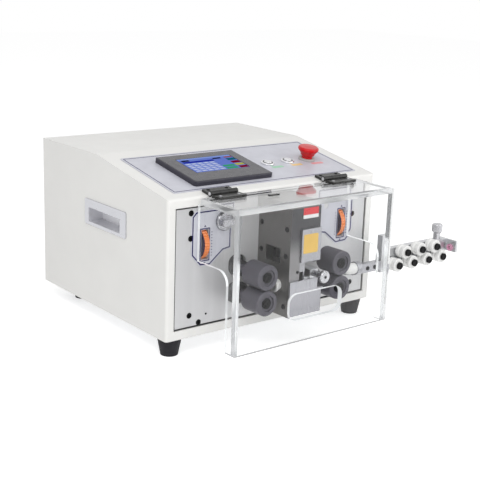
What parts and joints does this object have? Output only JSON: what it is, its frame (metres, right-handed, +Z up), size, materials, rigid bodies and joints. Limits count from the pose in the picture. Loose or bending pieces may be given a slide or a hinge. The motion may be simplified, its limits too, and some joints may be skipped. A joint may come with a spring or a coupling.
{
  "type": "wire cutting and stripping machine",
  "caption": "Bench machine with roller feed, blade head under a hinged clear cover, sloping touch panel and a wire straightener on its side, for cutting and stripping wire.",
  "frame": {"origin": "middle of the machine's footprint box, on the bench under the rubber feet", "axes": "+X to the right against the wire's run, towards the straightener, +Y to the back, +Z up"},
  "size_m": [0.5146, 0.4226, 0.2533],
  "materials": {
    "white_paint": "fine textured paint",
    "floor_steel": "zinc plated sheet",
    "foot_rubber": "matt",
    "grip_metal": "satin",
    "plate_steel": "bead blasted",
    "black_screw": "black oxide",
    "label_film": "satin film",
    "screen_case": "fine grain",
    "screen_glass": "lit panel",
    "bezel_metal": "polished",
    "collar_grey": "moulded",
    "hinge_black": "black",
    "seat_steel": "dark ground steel",
    "bright_steel": "ground",
    "white_plastic": "turned",
    "light_alloy": "satin",
    "knurled_steel": "knurled",
    "eyelet_ceramic": "glazed",
    "motor_black": "black",
    "slide_black": "blackened steel",
    "supply_case": "perforated case",
    "board_green": "circuit board",
    "inlet_black": "moulded",
    "rocker_red": "moulded",
    "clear_acrylic": "clear, polished edges",
    "roller_steel": "dark ground steel",
    "orange_plastic": "moulded",
    "slide_steel": "ground",
    "button_metal": "satin",
    "red_plastic": "moulded"
  },
  "bodies": {
    "cabinet": {"cabinet_shell": "white_paint", "rear_panel": "white_paint", "base_plate": "floor_steel", "rubber_feet": "foot_rubber", "side_grips": "grip_metal", "front_plate": "plate_steel", "plate_screws": "black_screw", "panel_labels": "label_film", "control_overlay": "label_film", "hmi_housing": "screen_case", "hmi_screen": "screen_glass", "button_bezels": "bezel_metal", "stop_collar": "collar_grey", "hinge_fixed_leaves": "hinge_black", "cutter_seat": "seat_steel", "seat_plates": "bright_steel", "straightener_bracket": "bright_steel", "wire_bushes": "white_plastic", "guide_clamp": "light_alloy", "straightener_base": "light_alloy", "drive_frame": "light_alloy", "wire_eyelet": "eyelet_ceramic", "feed_motors": "motor_black", "blade_motor": "motor_black", "shaft_bearings": "slide_black", "power_supply": "supply_case", "control_board": "board_green", "power_inlet": "inlet_black"},
    "cover": {"cover_front_plate": "clear_acrylic", "cover_top_plate": "clear_acrylic", "cover_side_plates": "clear_acrylic", "hinge_moving_leaves": "hinge_black"},
    "upper_blade_slide": {"upper_blade_slide": "slide_steel", "upper_blade": "bright_steel"},
    "lower_blade_slide": {"lower_blade_slide": "slide_steel", "lower_blade": "bright_steel"},
    "left_lower_roller": {"left_lower_roller": "roller_steel"},
    "left_upper_roller": {"left_upper_roller": "roller_steel"},
    "right_lower_roller": {"right_lower_roller": "roller_steel"},
    "right_upper_roller": {"right_upper_roller": "roller_steel"},
    "left_roller_slide": {"left_roller_slide": "slide_black"},
    "right_roller_slide": {"right_roller_slide": "slide_black"},
    "left_thumbwheel": {"left_thumbwheel": "orange_plastic"},
    "right_thumbwheel": {"right_thumbwheel": "orange_plastic"},
    "lift_knob": {"lift_knob": "light_alloy"},
    "lead_screw": {"lead_screw": "bright_steel"},
    "start_button": {"start_button": "button_metal"},
    "stop_button": {"stop_button": "button_metal"},
    "stop_head": {"stop_head": "red_plastic"},
    "lower_wheel_1": {"lower_wheel_1": "white_plastic"},
    "lower_wheel_2": {"lower_wheel_2": "white_plastic"},
    "lower_wheel_3": {"lower_wheel_3": "white_plastic"},
    "lower_wheel_4": {"lower_wheel_4": "white_plastic"},
    "upper_wheel_1": {"upper_wheel_1": "white_plastic"},
    "upper_wheel_2": {"upper_wheel_2": "white_plastic"},
    "upper_wheel_3": {"upper_wheel_3": "white_plastic"},
    "upper_wheel_bar": {"upper_wheel_bar": "light_alloy"},
    "adjust_screw": {"adjust_screw": "knurled_steel"},
    "thumb_screw": {"thumb_screw": "knurled_steel"},
    "power_rocker": {"power_rocker": "rocker_red"}
  },
  "joints": [
    {"name": "cover_hinge", "type": "hinge", "parent": "cabinet", "child": "cover", "pos_m": [-0.07075, -0.12875, 0.2194], "axis": [-1, 0, 0], "range_deg": [0, 120]},
    {"name": "left_thumbwheel_turn", "type": "hinge", "parent": "cabinet", "child": "left_thumbwheel", "pos_m": [-0.19035, -0.10675, 0.15], "axis": [1, 0, 0], "range_deg": [0, 92]},
    {"name": "left_roller_lift", "type": "slide", "parent": "cabinet", "child": "left_roller_slide", "axis": [0, 0, 1], "range_m": [0, 0.00628]},
    {"name": "left_lower_roller_spin", "type": "hinge", "parent": "cabinet", "child": "left_lower_roller", "pos_m": [-0.13775, -0.16725, 0.0757], "axis": [0, 1, 0], "continuous": true},
    {"name": "left_upper_roller_spin", "type": "hinge", "parent": "left_roller_slide", "child": "left_upper_roller", "pos_m": [-0.13775, -0.16725, 0.1113], "axis": [0, 1, 0], "continuous": true},
    {"name": "right_thumbwheel_turn", "type": "hinge", "parent": "cabinet", "child": "right_thumbwheel", "pos_m": [0.04885, -0.10675, 0.15], "axis": [1, 0, 0], "range_deg": [0, 92]},
    {"name": "right_roller_lift", "type": "slide", "parent": "cabinet", "child": "right_roller_slide", "axis": [0, 0, 1], "range_m": [0, 0.00628]},
    {"name": "right_lower_roller_spin", "type": "hinge", "parent": "cabinet", "child": "right_lower_roller", "pos_m": [-0.00375, -0.16725, 0.0757], "axis": [0, 1, 0], "continuous": true},
    {"name": "right_upper_roller_spin", "type": "hinge", "parent": "right_roller_slide", "child": "right_upper_roller", "pos_m": [-0.00375, -0.16725, 0.1113], "axis": [0, 1, 0], "continuous": true},
    {"name": "lift_knob_turn", "type": "hinge", "parent": "cabinet", "child": "lift_knob", "pos_m": [-0.15975, -0.12475, 0.179], "axis": [0, 1, 0], "range_deg": [0, 90]},
    {"name": "lead_screw_turn", "type": "hinge", "parent": "cabinet", "child": "lead_screw", "pos_m": [-0.07075, -0.08475, 0.0935], "axis": [0, 0, 1], "range_deg": [0, 275]},
    {"name": "upper_blade_travel", "type": "slide", "parent": "cabinet", "child": "upper_blade_slide", "axis": [0, 0, -1], "range_m": [0, 0.009]},
    {"name": "lower_blade_travel", "type": "slide", "parent": "cabinet", "child": "lower_blade_slide", "axis": [0, 0, 1], "range_m": [0, 0.009]},
    {"name": "start_button_press", "type": "slide", "parent": "cabinet", "child": "start_button", "axis": [0, 0.1762, -0.9844], "range_m": [0, 0.0025], "stiffness_N_per_m": 400, "springref_m": -0.0005},
    {"name": "stop_button_press", "type": "slide", "parent": "cabinet", "child": "stop_button", "axis": [0, 0.1762, -0.9844], "range_m": [0, 0.0025], "stiffness_N_per_m": 400, "springref_m": -0.0005},
    {"name": "stop_head_press", "type": "slide", "parent": "cabinet", "child": "stop_head", "axis": [0, 0.1762, -0.9844], "range_m": [0, 0.004]},
    {"name": "lower_wheel_1_spin", "type": "hinge", "parent": "cabinet", "child": "lower_wheel_1", "pos_m": [0.12775, -0.16725, 0.0845], "axis": [0, 1, 0], "continuous": true},
    {"name": "lower_wheel_2_spin", "type": "hinge", "parent": "cabinet", "child": "lower_wheel_2", "pos_m": [0.16025, -0.16725, 0.0845], "axis": [0, 1, 0], "continuous": true},
    {"name": "lower_wheel_3_spin", "type": "hinge", "parent": "cabinet", "child": "lower_wheel_3", "pos_m": [0.19275, -0.16725, 0.0845], "axis": [0, 1, 0], "continuous": true},
    {"name": "lower_wheel_4_spin", "type": "hinge", "parent": "cabinet", "child": "lower_wheel_4", "pos_m": [0.22525, -0.16725, 0.0845], "axis": [0, 1, 0], "continuous": true},
    {"name": "upper_wheel_bar_lift", "type": "slide", "parent": "cabinet", "child": "upper_wheel_bar", "axis": [0, 0, 1], "range_m": [0, 0.003]},
    {"name": "upper_wheel_1_spin", "type": "hinge", "parent": "upper_wheel_bar", "child": "upper_wheel_1", "pos_m": [0.144, -0.16725, 0.1025], "axis": [0, 1, 0], "continuous": true},
    {"name": "upper_wheel_2_spin", "type": "hinge", "parent": "upper_wheel_bar", "child": "upper_wheel_2", "pos_m": [0.1765, -0.16725, 0.1025], "axis": [0, 1, 0], "continuous": true},
    {"name": "upper_wheel_3_spin", "type": "hinge", "parent": "upper_wheel_bar", "child": "upper_wheel_3", "pos_m": [0.209, -0.16725, 0.1025], "axis": [0, 1, 0], "continuous": true},
    {"name": "adjust_screw_turn", "type": "hinge", "parent": "upper_wheel_bar", "child": "adjust_screw", "pos_m": [0.23275, -0.15395, 0.1185], "axis": [0, 0, 1], "range_deg": [0, 375]},
    {"name": "thumb_screw_turn", "type": "hinge", "parent": "cabinet", "child": "thumb_screw", "pos_m": [-0.04575, -0.18475, 0.101], "axis": [0, 1, 0], "range_deg": [0, 180]},
    {"name": "power_rocker_tilt", "type": "hinge", "parent": "cabinet", "child": "power_rocker", "pos_m": [0.06425, 0.20375, 0.101], "axis": [-1, 0, 0], "range_deg": [0, 16]}
  ],
  "couplings": [
    {"joint": "left_thumbwheel_turn", "follows": "left_roller_lift", "rad_per_m": 250},
    {"joint": "left_upper_roller_spin", "follows": "left_lower_roller_spin", "ratio": -1},
    {"joint": "right_thumbwheel_turn", "follows": "right_roller_lift", "rad_per_m": 250},
    {"joint": "right_upper_roller_spin", "follows": "right_lower_roller_spin", "ratio": -1},
    {"joint": "lead_screw_turn", "follows": "upper_blade_travel", "rad_per_m": 523.6},
    {"joint": "lower_blade_travel", "follows": "upper_blade_travel", "ratio": 1},
    {"joint": "adjust_screw_turn", "follows": "upper_wheel_bar_lift", "rad_per_m": 2094.4}
  ]
}
